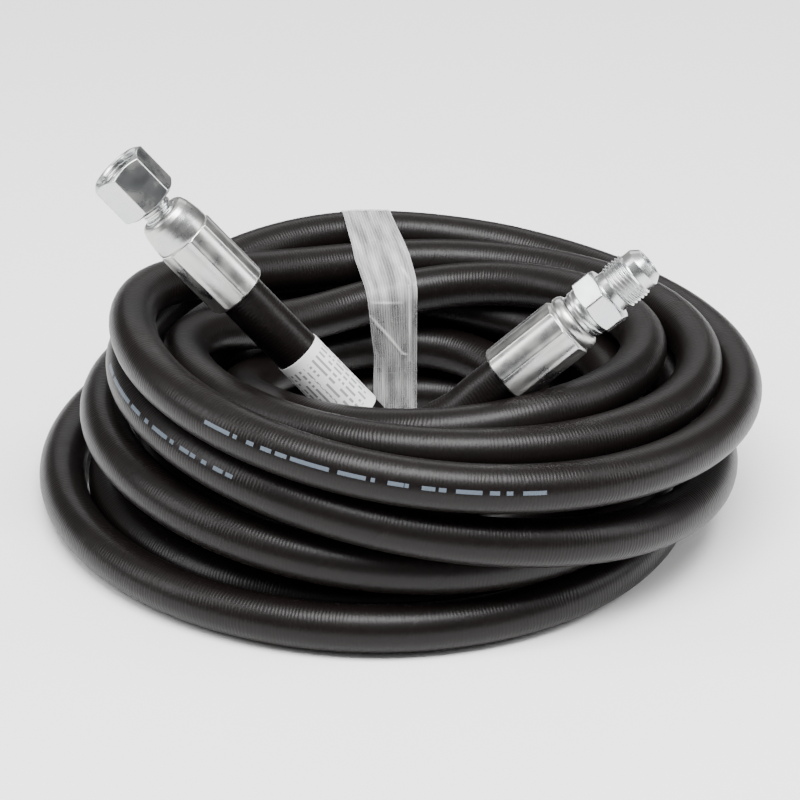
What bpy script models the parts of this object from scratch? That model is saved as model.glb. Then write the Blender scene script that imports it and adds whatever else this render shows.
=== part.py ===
"""A coiled hydraulic hose with a female swivel end and a male end, in metres, +Z up."""

import math

import bmesh
import bpy
from mathutils import Matrix, Vector

MM = 0.001

# Hose: half-inch bore with one wire braid.
HOSE_OD = 19.0 * MM
HOSE_ROUNDING = 3
GAP = 0.3 * MM
WELD_WITHIN = 0.01 * MM

# Coil. Each turn is given by how far its centreline lies from the coil's axis and how high it lies,
# as (reach, height) in mm at the right, the back, the left and the front.
COIL_AXIS = Vector((4.5 * MM, -9.3 * MM, 0.0))
PRESSED = 0.6 * MM
ON_FLOOR = (HOSE_OD / 2 - PRESSED) / MM
TURNS = {
    "floor_inner": ((70, ON_FLOOR), (84, ON_FLOOR), (88, ON_FLOOR), (80, ON_FLOOR)),
    "floor_middle": ((89, ON_FLOOR), (116, ON_FLOOR), (123, ON_FLOOR), (104, ON_FLOOR)),
    "floor_outer": ((108, ON_FLOOR), (143, ON_FLOOR), (142, ON_FLOOR), (124.5, ON_FLOOR)),
    "second_outer": ((102, 26), (122, 29), (126, 42), (117, 32)),
    "second_middle": ((106, 43), (103, 27), (107, 27), (97, 34)),
    "second_inner": ((84, 30), (83, 30), (74, 29), (78, 30)),
    "third_middle": ((89, 50), (99, 44), (93, 49), (103, 52)),
    "third_outer": ((124, 22), (119, 46), (112, 65), (124, 51)),
    "top_outer": ((134, 55), (124, 65), (113.5, 84), (125, 73)),
    "top_middle": ((114.5, 64), (100, 61), (92, 70), (97.5, 71)),
    "top_inner": ((94.5, 69), (78, 55), (66, 54), (77, 68)),
}
RING_STEPS = 64
# The turns that show on the outside of the stack, counterclockwise in the half plane.
OUTSIDE = (
    "floor_outer", "second_outer", "third_outer", "top_outer", "top_middle", "top_inner", "second_inner",
    "floor_inner", "floor_middle",
)
ARC_STEPS = 9
VALLEY = math.radians(38)
# A turn whose bare arc comes out wider than this is hidden between its neighbours.
HIDDEN_ARC = math.radians(300)
HIDDEN_SHRINK = 0.002

# Free ends: where the back rim of each ferrule lies, from the coil's axis, and the way each fitting points.
FEMALE_RIM = COIL_AXIS + Vector((-67.2, -32.7, 108.8)) * MM
FEMALE_WAY = Vector((-0.662, 0.025, 0.749)).normalized()
MALE_RIM = COIL_AXIS + Vector((36.9, -60.5, 85.4)) * MM
MALE_WAY = Vector((0.762, 0.079, 0.643)).normalized()
FEMALE_STRAIGHT = 71.0 * MM
MALE_STRAIGHT = 14.0 * MM
# The rest of each route, from the coil's axis, down to the turn that the end comes from, in mm.
FEMALE_ROUTE = ((-2, -35, 37), (23, -30, 24), (43, -14, 18.5), (55, 8, 17.5), (57, 34, 19), (47, 57, 22.5), (37, 68, 25))
MALE_ROUTE = (
    (-4, -62, 56), (-27, -57.5, 41.5), (-48.5, -45.5, 28), (-64.5, -26, 18), (-73, -6, 13), (-76, 13, 10.5),
    (-74, 34, 10), (-65.5, 55, 10),
)

# Ferrules: a steel sleeve crimped with eight jaws.
JAWS = 8
FERRULE_SIDES = JAWS * 4
FERRULE_RIDGE_D = HOSE_OD + 5.6 * MM
FERRULE_FLAT_D = HOSE_OD + 4.2 * MM
FERRULE_CRIMP = 32.0 * MM
FERRULE_RIM = 1.4 * MM
CRIMP_STEP = 0.8 * MM
HOSE_IN_FERRULE = 34.0 * MM
SHANK_D = 14.0 * MM

# Turned steel.
TURNED_SIDES = 24
BEVEL = 0.4 * MM
CORNER_CUT = 0.7 * MM
FACE_LESS = 0.3 * MM
HEX_CHAMFER = 1.3 * MM

# Female end: 37 degree flare, three-quarter inch thread in a seven-eighths hexagon.
FEMALE_SHOULDER = 13.0 * MM
FEMALE_SHOULDER_D = HOSE_OD + 2.6 * MM
FEMALE_FACE_D = 17.2 * MM
SHOULDER_ROUND = 3.0 * MM
THREAD_D = 19.05 * MM
THREAD_PITCH = 25.4 / 16 * MM
THREAD_DEPTH = 0.61 * THREAD_PITCH
THREAD_CREST = 0.16 * THREAD_PITCH
NUT_AF = THREAD_D + 3.15 * MM
NUT_LENGTH = 19.0 * MM
NUT_LIP = 4.5 * MM
NUT_MOUTH_D = THREAD_D + 0.8 * MM
MOUTH_DEPTH = 1.4 * MM
NUT_TURN = math.radians(30)
FEMALE_NECK = 5.5 * MM
NECK_D = 10.6 * MM
NECK_RING_D = 12.8 * MM
NECK_RING_FROM = 2.0 * MM
NECK_RING_LENGTH = 2.2 * MM
FEMALE_HEAD_D = 15.6 * MM
HEAD_LENGTH = 2.6 * MM
BORE_D = 9.6 * MM

# Male end.
MALE_COLLAR = 5.6 * MM
MALE_COLLAR_D = HOSE_OD + 4.6 * MM
MALE_FACE_D = 19.8 * MM
COLLAR_ROUND = 2.0 * MM
MALE_NECK = 5.5 * MM
MALE_NECK_D = 20.4 * MM
MALE_WAIST = 1.4 * MM
MALE_HEX_AF = NUT_AF
MALE_HEX_LENGTH = 10.0 * MM
MALE_RELIEF = 3.2 * MM
MALE_RELIEF_D = 17.2 * MM
MALE_THREADS = 6
NOSE_D = 17.0 * MM
NOSE_LENGTH = 3.8 * MM
NOSE_TIP_D = 12.4 * MM
FLARE = math.radians(37)

# Label wrapped round the hose behind the female ferrule.
LABEL_FROM_RIM = 34.0 * MM
LABEL_LENGTH = 36.0 * MM
LABEL_T = 0.35 * MM
LABEL_GAP = 0.15 * MM
LABEL_SIDES = 32
LABEL_SEAT = LABEL_GAP + LABEL_T + GAP

# Clear tape round the coil at the back.
TAPE_ANGLE = math.radians(97)
TAPE_WIDTH = 24.0 * MM
TAPE_T = 0.5 * MM
TAPE_ROUNDING = 12
TAPE_TRUE = 0.1 * MM
SHARPEST = 0.3
TAPE_CLEAR = 1.0 * MM
TAPE_EDGE = math.radians(0.5)
CLOSE_STEP = math.radians(1.5)


def material(name, colour, roughness, metallic):
    """A plain finish."""
    made = bpy.data.materials.new(name)
    made.use_nodes = True
    shader = made.node_tree.nodes["Principled BSDF"]
    shader.inputs["Base Color"].default_value = (*colour, 1)
    shader.inputs["Roughness"].default_value = roughness
    shader.inputs["Metallic"].default_value = metallic
    return made


def finish(name, mesh, look, smooth=True):
    """One node from a bmesh, faces out."""
    bmesh.ops.recalc_face_normals(mesh, faces=mesh.faces)
    data = bpy.data.meshes.new(name)
    mesh.to_mesh(data)
    mesh.free()
    node = bpy.data.objects.new(name, data)
    bpy.context.scene.collection.objects.link(node)
    data.materials.append(look)
    if smooth:
        data.shade_smooth()
    return node


def along(origin, way):
    """The frame of a fitting: its origin, and its +Z along the way that it points."""
    return Matrix.Translation(origin) @ way.to_track_quat("Z", "Y").to_matrix().to_4x4()


def polar(radius, angle, z):
    return Vector((radius * math.cos(angle), radius * math.sin(angle), z))


def lofted(name, rings, look, place, smooth=True):
    """A closed solid skinned through rings of equal counts. The last ring joins the first, so it has a bore."""
    mesh = bmesh.new()
    made = [[mesh.verts.new(point) for point in ring] for ring in rings]
    for here, there in zip(made, made[1:] + made[:1]):
        for k in range(len(here)):
            after = (k + 1) % len(here)
            mesh.faces.new((here[k], here[after], there[after], there[k]))
    node = finish(name, mesh, look, smooth)
    node.matrix_world = place
    return node


def round_ring(radius, z, sides):
    return [polar(radius, math.tau * k / sides, z) for k in range(sides)]


def hex_ring(across, z):
    """A hexagon with points along its flats, so that it skins to a round ring."""
    ring = []
    for k in range(TURNED_SIDES):
        angle = math.tau * k / TURNED_SIDES
        from_flat = (angle + math.pi / 6) % (math.pi / 3) - math.pi / 6
        ring.append(polar(across / 2 / math.cos(from_flat), angle, z))
    return ring


def trimmed(ring, radius):
    """The ring with its corners cut back to a radius, as a chamfering tool leaves them."""
    return [polar(min(p.xy.length, radius), math.atan2(p.y, p.x), p.z) for p in ring]


def four_way(values, angle):
    """A smooth value round the coil through its values at the right, the back, the left and the front."""
    right, back, left, front = values
    mean = (right + back + left + front) / 4
    oval = (right - back + left - front) / 4
    swing = (right - left) / 2 * math.cos(angle) + (back - front) / 2 * math.sin(angle)
    return mean + swing + oval * math.cos(2 * angle)


def turn_centre(name, angle):
    """Where the centreline of a turn crosses the half plane at this angle: (reach, height)."""
    reach = four_way([reach for reach, height in TURNS[name]], angle) * MM
    height = four_way([height for reach, height in TURNS[name]], angle) * MM
    return reach, height


def coil_section(angle, floor):
    """The outer shape of the stack in one half plane: an arc of each outside turn, from valley to valley."""
    radius = HOSE_OD / 2
    centres = [turn_centre(name, angle) for name in OUTSIDE]
    section = []
    for i, here in enumerate(centres):
        before, after = centres[i - 1], centres[(i + 1) % len(centres)]
        start = math.atan2(before[1] - here[1], before[0] - here[0]) + VALLEY
        stop = math.atan2(after[1] - here[1], after[0] - here[0]) - VALLEY
        sweep = (stop - start) % math.tau
        if sweep > HIDDEN_ARC:
            start, sweep = start - (math.tau - sweep) / 2, 0.0
        for k in range(ARC_STEPS):
            turn = start + sweep * k / (ARC_STEPS - 1)
            wide = radius if sweep else radius * (1 - HIDDEN_SHRINK * k)
            section.append((here[0] + wide * math.cos(turn), max(here[1] + wide * math.sin(turn), floor)))
    return section


def coil_angles():
    """Even steps round the coil, with a pair of close steps at each edge of the tape, and half its spread there."""
    inner = min(turn_centre(name, TAPE_ANGLE)[0] for name in OUTSIDE) - HOSE_OD / 2
    half = math.asin((TAPE_WIDTH / 2 + TAPE_CLEAR) / inner)
    steps = [math.tau * k / RING_STEPS for k in range(RING_STEPS)]
    near = [TAPE_ANGLE + side * (half + more) for side in (-1, 1) for more in (0.0, TAPE_EDGE)]
    kept = [a for a in steps if min(abs(a - b) for b in near) > CLOSE_STEP]
    return sorted(kept + near), half


def hose_coil(look):
    angles, half = coil_angles()
    rings = []
    for angle in angles:
        under_tape = abs(angle - TAPE_ANGLE) < half + TAPE_EDGE / 2
        floor = TAPE_T + GAP if under_tape else 0.0
        section = coil_section(angle, floor)
        rings.append([polar(reach, angle, z) for reach, z in section])
    return lofted("hose_coil", rings, look, Matrix.Translation(COIL_AXIS))


def smooth_route(points, step):
    """Points along a smooth curve through the given ones, about one step apart."""
    held = [points[0] * 2 - points[1], *points, points[-1] * 2 - points[-2]]
    fine = []
    for a, b, c, d in zip(held, held[1:], held[2:], held[3:]):
        for k in range(24):
            t = k / 24
            fine.append(0.5 * (2 * b + (c - a) * t + (2 * a - 5 * b + 4 * c - d) * t ** 2
                               + (3 * b - a - 3 * c + d) * t ** 3))
    fine.append(points[-1])
    kept = [fine[0]]
    for point in fine[1:-1]:
        if (point - kept[-1]).length >= step:
            kept.append(point)
    kept.append(fine[-1])
    return kept


def free_route(rim, way, straight, rest):
    """Out of the ferrule, straight for a stretch behind it, then down into the coil."""
    points = [rim + way * HOSE_IN_FERRULE, rim, rim - way * straight, rim - way * (straight + HOSE_OD / 2)]
    return points + [COIL_AXIS + Vector(p) * MM for p in rest]


def hose_tube(name, route, diameter, look):
    curve = bpy.data.curves.new(name, "CURVE")
    curve.dimensions = "3D"
    spline = curve.splines.new("POLY")
    points = smooth_route(route, HOSE_OD)
    spline.points.add(len(points) - 1)
    for held, point in zip(spline.points, points):
        held.co = (*(point - COIL_AXIS), 1)
    curve.bevel_depth = diameter / 2
    curve.bevel_resolution = HOSE_ROUNDING
    curve.use_fill_caps = True
    curve.materials.append(look)
    node = bpy.data.objects.new(name, curve)
    node.location = COIL_AXIS
    bpy.context.scene.collection.objects.link(node)
    return node


def cut_seat(coil, route, name, clearance):
    """Clears the coil round the stretch of hose that runs into it, and what is wrapped on that stretch."""
    tube = hose_tube(name + "_curve", route, HOSE_OD + 2 * clearance, coil.data.materials[0])
    graph = bpy.context.evaluated_depsgraph_get()
    data = bpy.data.meshes.new_from_object(tube.evaluated_get(graph))
    bpy.data.objects.remove(tube)
    cutter = bpy.data.objects.new(name, data)
    cutter.location = COIL_AXIS
    bpy.context.scene.collection.objects.link(cutter)
    weld = cutter.modifiers.new("weld", "WELD")
    weld.merge_threshold = WELD_WITHIN
    cutter.hide_render = True
    cutter.display_type = "WIRE"
    cut = coil.modifiers.new(name, "BOOLEAN")
    cut.operation = "DIFFERENCE"
    cut.solver = "EXACT"
    cut.object = cutter


def crimped_ring(less, z):
    """A ring of the crimp: eight flats between narrow ridges, drawn in by this much."""
    ridge, flat = FERRULE_RIDGE_D / 2 - less, FERRULE_FLAT_D / 2 - less
    ring = []
    for k in range(FERRULE_SIDES):
        angle = math.tau * k / FERRULE_SIDES
        from_flat = (angle + math.pi / JAWS) % (math.tau / JAWS) - math.pi / JAWS
        ring.append(polar(min(flat / math.cos(from_flat), ridge), angle, z))
    return ring


def ferrule(name, place, front, look):
    """A crimped sleeve. The front is the outline past the crimp, as (diameter, distance from the back rim)."""
    inner = HOSE_OD / 2 + GAP
    bore = SHANK_D / 2 + GAP
    depth = HOSE_IN_FERRULE + GAP
    end = front[-1][1]
    rings = [
        round_ring(inner, 0, FERRULE_SIDES),
        crimped_ring(FERRULE_RIM / 2, 0),
        crimped_ring(0, FERRULE_RIM),
        crimped_ring(0, FERRULE_CRIMP),
    ]
    rings += [round_ring(d / 2, z, FERRULE_SIDES) for d, z in front]
    rings += [
        round_ring(bore, end, FERRULE_SIDES),
        round_ring(bore, depth, FERRULE_SIDES),
        round_ring(inner, depth, FERRULE_SIDES),
    ]
    return lofted(name, rings, look, place)


def female_front():
    """A long shoulder that draws in and rounds off at the neck."""
    start, end = FERRULE_CRIMP, FERRULE_CRIMP + FEMALE_SHOULDER
    full = FERRULE_RIDGE_D - CRIMP_STEP
    nearly = (FEMALE_SHOULDER_D + FEMALE_FACE_D * 0.6) / 1.6
    return [
        (full, start + CRIMP_STEP), (full - CRIMP_STEP / 2, start + FEMALE_SHOULDER * 0.35),
        (FEMALE_SHOULDER_D, end - SHOULDER_ROUND), (nearly, end - SHOULDER_ROUND / 3), (FEMALE_FACE_D, end),
    ]


def male_front():
    """A short collar that bulges and closes on the neck."""
    start, end = FERRULE_CRIMP, FERRULE_CRIMP + MALE_COLLAR
    groove = MALE_COLLAR_D - 1.5 * CRIMP_STEP
    return [
        (groove, start + CRIMP_STEP * 0.75), (MALE_COLLAR_D, start + COLLAR_ROUND),
        (MALE_COLLAR_D, end - COLLAR_ROUND), (groove, end - COLLAR_ROUND / 3), (MALE_FACE_D, end),
    ]


def female_stem(place, look):
    """The stem of the swivel end: shank in the ferrule, ringed neck, and the flared head that the nut holds."""
    start = HOSE_IN_FERRULE + GAP
    face = FERRULE_CRIMP + FEMALE_SHOULDER
    back = face + FEMALE_NECK
    seat = back + NUT_LIP + GAP
    ring = face + NECK_RING_FROM
    head = seat + HEAD_LENGTH
    dish = HEAD_LENGTH - BEVEL * 2
    profile = [
        (BORE_D, start), (SHANK_D, start), (SHANK_D, face + 2 * BEVEL), (NECK_D, face + 3 * BEVEL),
        (NECK_D, ring), (NECK_RING_D, ring + BEVEL), (NECK_RING_D, ring + NECK_RING_LENGTH - BEVEL),
        (NECK_D, ring + NECK_RING_LENGTH), (NECK_D, seat), (FEMALE_HEAD_D, seat + BEVEL), (FEMALE_HEAD_D, head),
        (BORE_D, head - dish),
    ]
    rings = [round_ring(d / 2, z, TURNED_SIDES) for d, z in profile]
    return lofted("female_stem", rings, look, place)


def hexagon(across, back, front, round_face):
    """Rings of a hexagon whose corners are chamfered at both ends, from face to face."""
    corner = across / 2 / math.cos(math.pi / 6) - CORNER_CUT
    return [
        round_ring(round_face, back, TURNED_SIDES),
        trimmed(hex_ring(across, back + HEX_CHAMFER / 2), corner),
        hex_ring(across, back + HEX_CHAMFER * 1.6),
        hex_ring(across, front - HEX_CHAMFER * 1.6),
        trimmed(hex_ring(across, front - HEX_CHAMFER / 2), corner),
        round_ring(round_face, front, TURNED_SIDES),
    ]


def swivel_nut(place, look):
    """The hexagon nut: chamfered at both ends, a lip behind the stem's head, and the thread's bore."""
    back = FERRULE_CRIMP + FEMALE_SHOULDER + FEMALE_NECK
    front = back + NUT_LENGTH
    neck = NECK_D / 2 + GAP
    bore = NUT_MOUTH_D / 2 - THREAD_DEPTH
    rings = [round_ring(neck, back, TURNED_SIDES)]
    rings += hexagon(NUT_AF, back, front, NUT_AF / 2 - FACE_LESS)
    inside = [(NUT_MOUTH_D / 2, front), (bore, front - MOUTH_DEPTH), (bore, back + NUT_LIP), (neck, back + NUT_LIP)]
    rings += [round_ring(radius, z, TURNED_SIDES) for radius, z in inside]
    return lofted("swivel_nut", rings, look, place @ Matrix.Rotation(NUT_TURN, 4, "Z"))


def thread_rings(start):
    """Plain grooves at the pitch of the thread: (radius, distance from the back rim)."""
    crest, root = THREAD_D / 2, THREAD_D / 2 - THREAD_DEPTH
    found = []
    for k in range(MALE_THREADS):
        middle = start + THREAD_PITCH * (k + 0.5)
        found += [(crest, middle - THREAD_CREST / 2), (crest, middle + THREAD_CREST / 2)]
        found.append((root, middle + THREAD_PITCH / 2))
    return found


def male_stem(place, look):
    """The male end turned from one bar: neck, hexagon, thread and the 37 degree nose."""
    face = FERRULE_CRIMP + MALE_COLLAR + GAP
    back = FERRULE_CRIMP + MALE_COLLAR + MALE_NECK
    front = back + MALE_HEX_LENGTH
    thread = front + MALE_RELIEF
    nose = thread + MALE_THREADS * THREAD_PITCH
    cone = nose + NOSE_LENGTH
    tip = cone + (NOSE_D - NOSE_TIP_D) / 2 / math.tan(FLARE)
    waist = MALE_NECK_D / 2 - BEVEL
    before = [
        (BORE_D / 2, HOSE_IN_FERRULE + GAP), (SHANK_D / 2, HOSE_IN_FERRULE + GAP), (SHANK_D / 2, face),
        (waist, face), (waist, face + MALE_WAIST), (MALE_NECK_D / 2, face + MALE_WAIST + BEVEL),
        (MALE_NECK_D / 2, back),
    ]
    after = [(MALE_RELIEF_D / 2, front), (MALE_RELIEF_D / 2, thread), *thread_rings(thread)]
    after += [
        (NOSE_D / 2 - BEVEL / 2, nose + BEVEL), (NOSE_D / 2 - BEVEL / 2, cone - BEVEL), (NOSE_D / 2 - BEVEL, cone),
        (NOSE_TIP_D / 2, tip), (BORE_D / 2, tip),
    ]
    rings = [round_ring(radius, z, TURNED_SIDES) for radius, z in before]
    rings += hexagon(MALE_HEX_AF, back, front, MALE_HEX_AF / 2 - FACE_LESS)
    rings += [round_ring(radius, z, TURNED_SIDES) for radius, z in after]
    return lofted("male_stem", rings, look, place)


def wrap_label(look):
    """A thin sleeve round the straight stretch of hose behind the female ferrule."""
    place = along(FEMALE_RIM - FEMALE_WAY * (LABEL_FROM_RIM + LABEL_LENGTH), FEMALE_WAY)
    inner = HOSE_OD / 2 + LABEL_GAP
    outline = ((inner, 0), (inner + LABEL_T, 0), (inner + LABEL_T, LABEL_LENGTH), (inner, LABEL_LENGTH))
    rings = [round_ring(radius, z, LABEL_SIDES) for radius, z in outline]
    return lofted("wrap_label", rings, look, place)


def hull(points):
    """The convex outline of points in a plane, counterclockwise."""
    points = sorted(points)
    sides = []
    for run in (points, points[::-1]):
        side = []
        for p in run:
            while len(side) > 1:
                (ax, ay), (bx, by) = side[-2], side[-1]
                if (bx - ax) * (p[1] - ay) - (by - ay) * (p[0] - ax) > 0:
                    break
                side.pop()
            side.append(p)
        sides += side[:-1]
    return sides


def tape_outline(clearance):
    """One tight closed line round the stretch of coil under the tape, held this far off it: (outward, height)."""
    steps, half = coil_angles()
    spots = []
    for angle in steps:
        if abs(angle - TAPE_ANGLE) > half + 2 * TAPE_EDGE:
            continue
        for reach, z in coil_section(angle, TAPE_T + GAP):
            outward = reach * math.cos(angle - TAPE_ANGLE)
            for k in range(TAPE_ROUNDING):
                turn = math.tau * k / TAPE_ROUNDING
                height = max(z + clearance * math.sin(turn), TAPE_T)
                spots.append((outward + clearance * math.cos(turn), height))
    return thinned(hull(spots), TAPE_TRUE)


def thinned(outline, least):
    """The outline without the corners that stand less than this off the line past them."""
    kept = [outline[0]]
    for here, after in zip(outline[1:], outline[2:] + outline[:1]):
        (ax, ay), (bx, by) = kept[-1], after
        span = math.dist(kept[-1], after)
        off = abs((bx - ax) * (here[1] - ay) - (by - ay) * (here[0] - ax)) / span
        if off > least:
            kept.append(here)
    return kept


def grown(outline, by, floor):
    """A counterclockwise outline moved outwards by this much, and no lower than the floor."""
    found = []
    for before, here, after in zip(outline[-1:] + outline[:-1], outline, outline[1:] + outline[:1]):
        one = Vector((here[1] - before[1], before[0] - here[0])).normalized()
        two = Vector((after[1] - here[1], here[0] - after[0])).normalized()
        way = (one + two).normalized()
        far = by / max(way.dot(one), SHARPEST)
        found.append((here[0] + way.x * far, max(here[1] + way.y * far, floor)))
    return found


def strapping_tape(look):
    """A closed band round the coil, with its thickness outwards, carried across the tape's width."""
    inside = tape_outline(2 * GAP)
    outside = grown(inside, TAPE_T, 0.0)
    half = TAPE_WIDTH / 2
    edges = ((inside, -half), (outside, -half), (outside, half), (inside, half))
    rings = [[Vector((x, side, z)) for x, z in outline] for outline, side in edges]
    place = Matrix.Translation(COIL_AXIS) @ Matrix.Rotation(TAPE_ANGLE, 4, "Z")
    return lofted("strapping_tape", rings, look, place)


def main():
    for old in list(bpy.data.objects):
        bpy.data.objects.remove(old)
    rubber = material("black_rubber", (0.012, 0.011, 0.010), 0.45, 0.0)
    zinc = material("zinc_plate", (0.62, 0.64, 0.66), 0.28, 1.0)
    paper = material("white_label", (0.80, 0.80, 0.80), 0.5, 0.0)
    film = material("clear_tape", (0.60, 0.62, 0.64), 0.25, 0.0)

    female_route = free_route(FEMALE_RIM, FEMALE_WAY, FEMALE_STRAIGHT, FEMALE_ROUTE)
    male_route = free_route(MALE_RIM, MALE_WAY, MALE_STRAIGHT, MALE_ROUTE)
    coil = hose_coil(rubber)
    cut_seat(coil, female_route, "female_seat", LABEL_SEAT)
    cut_seat(coil, male_route, "male_seat", GAP)
    hose_tube("hose_female_end", female_route, HOSE_OD, rubber)
    hose_tube("hose_male_end", male_route, HOSE_OD, rubber)

    female = along(FEMALE_RIM, FEMALE_WAY)
    male = along(MALE_RIM, MALE_WAY)
    ferrule("female_ferrule", female, female_front(), zinc)
    female_stem(female, zinc)
    swivel_nut(female, zinc)
    ferrule("male_ferrule", male, male_front(), zinc)
    male_stem(male, zinc)
    wrap_label(paper)
    strapping_tape(film)


main()
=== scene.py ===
# %% [markdown]
# A hydraulic hose, coiled for sale. The real thing is half-inch wire-braided rubber hose,
# with a steel fitting crimped on at each end, a label round one end and a band of clear
# tape round the coil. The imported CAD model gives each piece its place, and this script
# dresses it: first the camera and the hose, then the fittings, the label and the tape.

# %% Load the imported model
import math

import bpy
import numpy as np
from mathutils import Matrix, Vector


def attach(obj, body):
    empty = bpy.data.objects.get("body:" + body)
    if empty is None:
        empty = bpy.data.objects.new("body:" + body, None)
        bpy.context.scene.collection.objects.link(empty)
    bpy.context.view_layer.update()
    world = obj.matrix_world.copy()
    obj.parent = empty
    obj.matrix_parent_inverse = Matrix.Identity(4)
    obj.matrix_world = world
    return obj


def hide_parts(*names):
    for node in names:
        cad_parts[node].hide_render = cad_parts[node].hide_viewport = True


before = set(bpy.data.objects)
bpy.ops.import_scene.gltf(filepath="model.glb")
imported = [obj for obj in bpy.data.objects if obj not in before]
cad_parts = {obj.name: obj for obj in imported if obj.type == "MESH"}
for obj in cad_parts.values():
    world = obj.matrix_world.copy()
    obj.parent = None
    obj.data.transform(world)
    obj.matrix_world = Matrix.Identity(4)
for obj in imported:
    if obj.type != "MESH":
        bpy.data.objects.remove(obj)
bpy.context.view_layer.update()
print("CAD nodes:", ", ".join(sorted(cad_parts)))

# %% [markdown]
# The picture is taken from a little over the coil, with a long lens, so the near and far
# sides of the coil differ by only a fifth in size. The camera is set by its height, its
# distance and its tilt, as a photographer would measure them.

# %% Camera
MM = 0.001
CAMERA_PLACE = Vector((0.7, -1267.0, 677.1)) * MM
CAMERA_TILT = math.radians(26.68)
LENS_MM = 154.07
SENSOR_MM = 36.0


def in_scene(name, data):
    """A new object that shows this data, put in the scene."""
    made = bpy.data.objects.new(name, data)
    bpy.context.scene.collection.objects.link(made)
    return made


def camera():
    data = bpy.data.cameras.new("camera")
    data.lens = LENS_MM
    data.sensor_width = SENSOR_MM
    made = in_scene("camera", data)
    made.location = CAMERA_PLACE
    made.rotation_euler = (math.pi / 2 - CAMERA_TILT, 0, 0)
    bpy.context.scene.camera = made


camera()
print("camera stands", round(CAMERA_PLACE.length, 3), "m from the coil")

# %% [markdown]
# A coil of stiff hose is never a perfect spiral. Each turn here is a row of eight numbers:
# how far its centreline lies from the coil's axis and how high, at the right, the back,
# the left and the front. A smooth curve goes through them. The turns are listed in the
# order in which the hose runs through them, from the female end to the male end.

# %% Turns of the coil
HOSE_OD = 19.0 * MM
COIL_AXIS = np.array((4.5, -9.3, 0.0)) * MM
ON_FLOOR = 9.5
TURNS = {
    "second_inner": ((84, 30), (83, 30), (74, 29), (78, 30)),
    "top_inner": ((95.7, 69), (78, 55), (66, 54), (77, 68)),
    "top_middle": ((119.2, 63), (100, 61), (92, 70), (97.5, 71)),
    "top_outer": ((133.7, 55), (122.5, 60), (113, 84), (125, 73)),
    "third_outer": ((123.7, 21.5), (119.5, 43), (113.5, 65), (124, 51)),
    "third_middle": ((89, 50), (99, 44), (93, 49), (103, 52)),
    "second_middle": ((111, 42.5), (103, 27), (107, 27), (97, 34)),
    "second_outer": ((102, 26), (122, 26.5), (126, 42), (117, 32)),
    "floor_outer": ((108, ON_FLOOR), (143, ON_FLOOR), (144, ON_FLOOR), (123.4, ON_FLOOR)),
    "floor_middle": ((91, ON_FLOOR), (117, ON_FLOOR), (125, ON_FLOOR), (103, ON_FLOOR)),
    "floor_inner": ((72, ON_FLOOR), (84, ON_FLOOR), (90, ON_FLOOR), (80, ON_FLOOR)),
}
# How freely a turn gives way where two press on each other, 1 where nothing is said. The turns that show
# hold their place.
GIVES_WAY = {
    "top_inner": 0.3, "top_middle": 0.3, "top_outer": 0.15, "third_outer": 0.2,
    "second_outer": 0.3, "floor_outer": 0.15,
}
# A turn that lies askew bulges by this many mm at its left back and right front, and is drawn in by as
# much at its right back and left front.
ASKEW = {"floor_outer": 2.4, "second_outer": 2.0, "third_outer": 2.0}


def four_way(values, angle):
    """A smooth value round the coil, through the ones at the right, back, left and front."""
    right, back, left, front = values
    mean = (right + back + left + front) / 4
    oval = (right - back + left - front) / 4
    swing = (right - left) / 2 * math.cos(angle) + (back - front) / 2 * math.sin(angle)
    return mean + swing + oval * math.cos(2 * angle)


def spot_on(name, angle):
    """Reach and height in mm of a turn's centreline, and how freely it gives way."""
    reach = four_way([r for r, z in TURNS[name]], angle)
    reach = reach - ASKEW.get(name, 0.0) * math.sin(2 * angle)
    height = four_way([z for r, z in TURNS[name]], angle)
    return np.array((reach, height, GIVES_WAY.get(name, 1.0)))


print("widest turn:", max(reach for spots in TURNS.values() for reach, height in spots), "mm from the axis")

# %% [markdown]
# The hose steps from each turn to the next at the left and at the back, where the steps
# show least. Each step comes a little sooner than the one before, so the hose moves into
# a place that has just come free. A step is eased over a part of the way round, so that
# it has no kink.

# %% One line through all the turns
FIRST_STEP = math.radians(165)
SOONER = math.radians(11)
FIRST_WIDE = math.radians(92)
STEP_WIDE = math.radians(64)
COIL_START = math.radians(100)
COIL_STOP = math.radians(112)
POINTS_A_TURN = 90


def eased(t):
    t = min(max(t, 0.0), 1.0)
    return t * t * (3 - 2 * t)


def coil_line():
    """Points along the wound part of the hose, and how freely each gives way."""
    names = list(TURNS)
    whole = math.tau * (len(names) - 1) + COIL_STOP - COIL_START
    found = []
    for k in range(int(whole / math.tau * POINTS_A_TURN) + 1):
        angle = COIL_START + math.tau * k / POINTS_A_TURN
        step = round((angle - FIRST_STEP) / (math.tau - SOONER))
        step = min(max(step, 0), len(names) - 2)
        middle = FIRST_STEP + (math.tau - SOONER) * step
        share = eased((angle - middle) / (STEP_WIDE if step else FIRST_WIDE) + 0.5)
        here, there = spot_on(names[step], angle), spot_on(names[step + 1], angle)
        reach, height, free = here * (1 - share) + there * share
        found.append((reach * math.cos(angle), reach * math.sin(angle), height, free))
    found = np.array(found)
    return COIL_AXIS + found[:, :3] * MM, found[:, 3]


wound, wound_free = coil_line()
print("turns:", len(TURNS), "points in the coil:", len(wound))

# %% [markdown]
# Both ends of the hose leave the coil and stand up out of it, held by their own
# stiffness. Each runs straight for a stretch behind its fitting, because the crimp holds
# it, and then bends down into the turn that it comes from. The first points of each are
# those of the CAD source. A Catmull-Rom curve joins them, as it goes through every point.

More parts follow.
